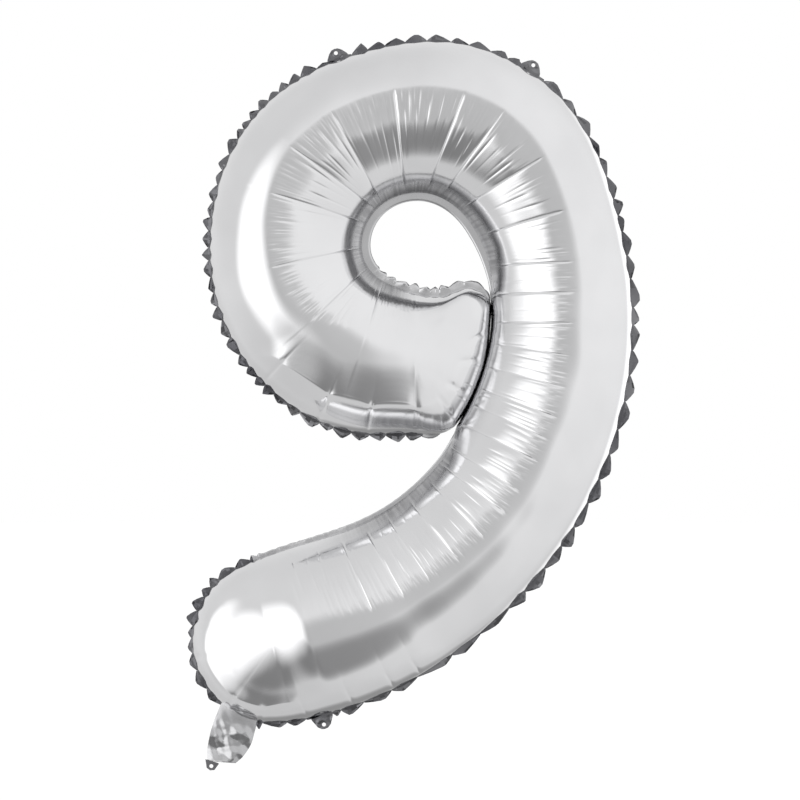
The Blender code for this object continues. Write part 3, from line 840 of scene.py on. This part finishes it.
def foil_material(name, with_painted_shade=False):
    """A film from the table, with faint cloudiness in its tone and its gloss, and a fine grain."""
    dark, light, roughness, grain, grain_depth = FILMS[name]
    material, tree, shader = node_tree(name)
    new, link = tree.nodes.new, tree.links.new
    shader.inputs["Metallic"].default_value = 1.0
    place = new("ShaderNodeTexCoord")
    cloud = new("ShaderNodeTexNoise")
    cloud.inputs["Scale"].default_value = 14.0
    cloud.inputs["Detail"].default_value = 3.0
    link(place.outputs["Object"], cloud.inputs["Vector"])
    tone = new("ShaderNodeValToRGB")
    tone.color_ramp.elements[0].position = 0.3
    tone.color_ramp.elements[0].color = (*dark, 1)
    tone.color_ramp.elements[1].position = 0.7
    tone.color_ramp.elements[1].color = (*light, 1)
    link(cloud.outputs["Fac"], tone.inputs["Fac"])
    colour = tone.outputs["Color"]
    gloss = new("ShaderNodeMapRange")
    gloss.inputs["To Min"].default_value = roughness[0]
    gloss.inputs["To Max"].default_value = roughness[1]
    link(cloud.outputs["Fac"], gloss.inputs["Value"])
    rough = gloss.outputs["Result"]
    # Painted shade: the tone is mixed towards a dark shade tone where the mesh attribute is 1, and
    # the roughness rises there.
    if with_painted_shade:
        share = new("ShaderNodeAttribute")
        share.attribute_name = "dullness_and_painted_shade"
        mix = new("ShaderNodeMix")
        mix.data_type = "RGBA"
        mix.inputs["B"].default_value = (*PAINTED_SHADE_TONE, 1)
        link(share.outputs["Fac"], mix.inputs["Factor"])
        link(colour, mix.inputs["A"])
        colour = mix.outputs["Result"]
        duller = new("ShaderNodeMath")
        duller.operation = "MULTIPLY_ADD"
        duller.inputs[1].default_value = GATHERED_ROUGHNESS
        link(share.outputs["Fac"], duller.inputs[0])
        link(rough, duller.inputs[2])
        rough = duller.outputs["Value"]
    link(colour, shader.inputs["Base Color"])
    link(rough, shader.inputs["Roughness"])
    fine = new("ShaderNodeTexNoise")
    fine.inputs["Scale"].default_value = grain
    fine.inputs["Detail"].default_value = 2.0
    link(place.outputs["Object"], fine.inputs["Vector"])
    bump = new("ShaderNodeBump")
    bump.inputs["Strength"].default_value = 1.0
    bump.inputs["Distance"].default_value = grain_depth
    link(fine.outputs["Fac"], bump.inputs["Height"])
    link(bump.outputs["Normal"], shader.inputs["Normal"])
    return material


def floor_material():
    material, _, shader = node_tree("pale_floor")
    shader.inputs["Base Color"].default_value = (0.92, 0.92, 0.92, 1)
    shader.inputs["Roughness"].default_value = 0.9
    shader.inputs["Emission Color"].default_value = (1, 1, 1, 1)
    shader.inputs["Emission Strength"].default_value = 0.25
    return material


# The studio as the foil sees it: direction, outer and inner angle of a soft patch, brightness.
# Bright patches add up, and where dark ones overlap the darkest counts.
PATCHES = {
    "left softbox": ((-0.65, -0.76, -0.09), 34, 8, 0.75),
    "right wall": ((0.90, -0.40, 0.15), 100, 35, 0.14),
    "upper left": ((-0.60, -0.20, 0.75), 70, 30, -0.05),
    "low flag": ((-0.28, -0.77, -0.57), 27, 9, -0.57),
    "low right flag": ((0.15, -0.80, -0.58), 29, 8, -0.60),
    "camera": ((0, -1, -0.12), 24, 8, -0.30),
    "floor": ((0.00, -0.20, -1.00), 85, 30, -0.13),
    "floor behind": ((0.00, 0.75, -0.65), 60, 20, -0.16),
    "back softbox": ((0.52, 0.85, -0.04), 27, 8, 0.60),
    "back flag": ((0.05, 0.80, -0.58), 27, 9, -0.50),
    "back wall": ((-0.05, 1, 0.05), 24, 8, -0.28),
}
STUDIO = 0.82               # brightness of the studio outside the patches

# The camera and the floor, in metres.
CAMERA_DISTANCE = 3.0
SENSOR_WIDTH = 36.0         # in millimetres
VIEW_WIDTH = 0.816          # what the camera sees at the balloon
VIEW_CENTRE = (-0.0357, -0.3468)
FLOOR_LEVEL = -1.05
FLOOR_RADIUS = 14
FLOOR_CORNERS = 64


def studio_world():
    """White where the camera sees it, and a room of soft bright and dark patches in reflections."""
    world = bpy.data.worlds.new("studio")
    world.use_nodes = True
    tree = world.node_tree
    new, link = tree.nodes.new, tree.links.new
    place = new("ShaderNodeTexCoord")
    sums = {}
    for direction, outer, inner, brightness in PATCHES.values():
        dot = new("ShaderNodeVectorMath")
        dot.operation = "DOT_PRODUCT"
        dot.inputs[1].default_value = Vector(direction).normalized()
        link(place.outputs["Generated"], dot.inputs[0])
        patch = new("ShaderNodeMapRange")
        patch.interpolation_type = "SMOOTHSTEP"
        patch.inputs["From Min"].default_value = math.cos(math.radians(outer))
        patch.inputs["From Max"].default_value = math.cos(math.radians(inner))
        patch.inputs["To Max"].default_value = abs(brightness)
        link(dot.outputs["Value"], patch.inputs["Value"])
        operation = "ADD" if brightness > 0 else "MAXIMUM"
        both = new("ShaderNodeMath")
        both.operation = operation
        both.inputs[1].default_value = STUDIO if brightness > 0 else 0.0
        link(patch.outputs["Result"], both.inputs[0])
        if operation in sums:
            link(sums[operation], both.inputs[1])
        sums[operation] = both.outputs["Value"]
    total = new("ShaderNodeMath")
    total.operation = "SUBTRACT"
    link(sums["ADD"], total.inputs[0])
    link(sums["MAXIMUM"], total.inputs[1])
    path = new("ShaderNodeLightPath")
    seen = new("ShaderNodeMath")
    seen.operation = "MAXIMUM"
    link(total.outputs["Value"], seen.inputs[0])
    link(path.outputs["Is Camera Ray"], seen.inputs[1])
    link(seen.outputs["Value"], tree.nodes["Background"].inputs["Strength"])
    tree.nodes["Background"].inputs["Color"].default_value = (1, 1, 1, 1)
    return world


def add_floor(scene):
    mesh = bpy.data.meshes.new("floor")
    turns = [2 * math.pi * i / FLOOR_CORNERS for i in range(FLOOR_CORNERS)]
    corners = [
        (FLOOR_RADIUS * math.cos(turn), FLOOR_RADIUS * math.sin(turn), FLOOR_LEVEL) for turn in turns
    ]
    mesh.from_pydata(corners, [], [list(range(FLOOR_CORNERS))])
    mesh.materials.append(floor_material())
    floor = bpy.data.objects.new("floor", mesh)
    scene.collection.objects.link(floor)
    floor.visible_glossy = False    # the world's patches stand for it in reflections


def add_camera(scene):
    data = bpy.data.cameras.new("camera")
    data.sensor_width = SENSOR_WIDTH
    data.lens = SENSOR_WIDTH * CAMERA_DISTANCE / VIEW_WIDTH
    camera = bpy.data.objects.new("camera", data)
    camera.location = (VIEW_CENTRE[0], -CAMERA_DISTANCE, VIEW_CENTRE[1])
    camera.rotation_euler = (math.radians(90), 0, 0)
    scene.collection.objects.link(camera)
    scene.camera = camera


outline = Outline()
creases = crease_lines(3)
spokes = Spokes(outline, creases)
neck = Neck(outline)
foil = foil_material("silver_foil", with_painted_shade=True)
dullness_and_painted_shade = foil_material("painted_shade_gathered_foil")
add_panel("foil_front", "front_panel", spokes, creases, neck.distance, -1, 7, foil)
add_panel("foil_back", "back_panel", spokes, creases, neck.distance, 1, 11, foil)
add_flange(outline, foil_material("sealed_foil"), dullness_and_painted_shade)
add_neck(outline, neck, foil_material("crumpled_foil"))
# The tabs and their eyelet lips take the foil with painted shade.
add_tabs(outline, neck, dullness_and_painted_shade)

valve = foil_material("valve_film")
for node in ("valve_front_film", "valve_back_film"):
    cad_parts[node].data.materials.clear()
    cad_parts[node].data.materials.append(valve)

studio = bpy.context.scene
studio.view_settings.view_transform = "Standard"
studio.world = studio_world()
add_floor(studio)
add_camera(studio)
